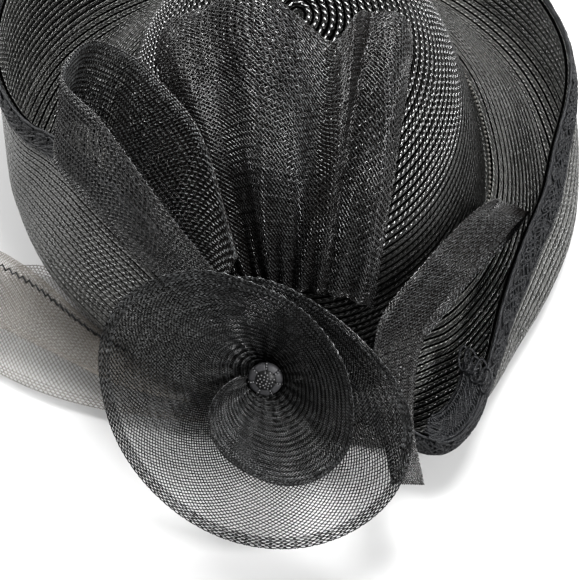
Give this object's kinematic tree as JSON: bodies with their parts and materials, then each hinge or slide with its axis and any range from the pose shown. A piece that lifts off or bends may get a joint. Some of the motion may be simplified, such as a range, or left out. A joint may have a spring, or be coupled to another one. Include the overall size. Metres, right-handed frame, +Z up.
{
  "type": "black straw dress hat with crinoline trim",
  "caption": "Black dress hat of sewn straw braid with a domed crown, an upswept brim edged in gimp, and pleated crinoline, loops and a beaded rosette at the front.",
  "frame": {"origin": "under the middle of the hat's box, on the surface that the brim rests on", "axes": "+Z up, -Y towards the trimmed front, +X towards the wearer's left"},
  "size_m": [0.2836, 0.3394, 0.1441],
  "materials": {
    "straw": "glossy sewn straw braid",
    "gimp": "scroll gimp of matt and shiny cord",
    "crinoline": "shiny open net weave",
    "beads": "glossy seed beads"
  },
  "bodies": {
    "root": {"crown": "straw", "brim": "straw", "edge_braid": "gimp", "crown_fan": "crinoline", "left_loop": "crinoline", "right_loop": "crinoline", "side_loop": "crinoline", "rosette": "crinoline", "button": "beads"}
  },
  "joints": []
}
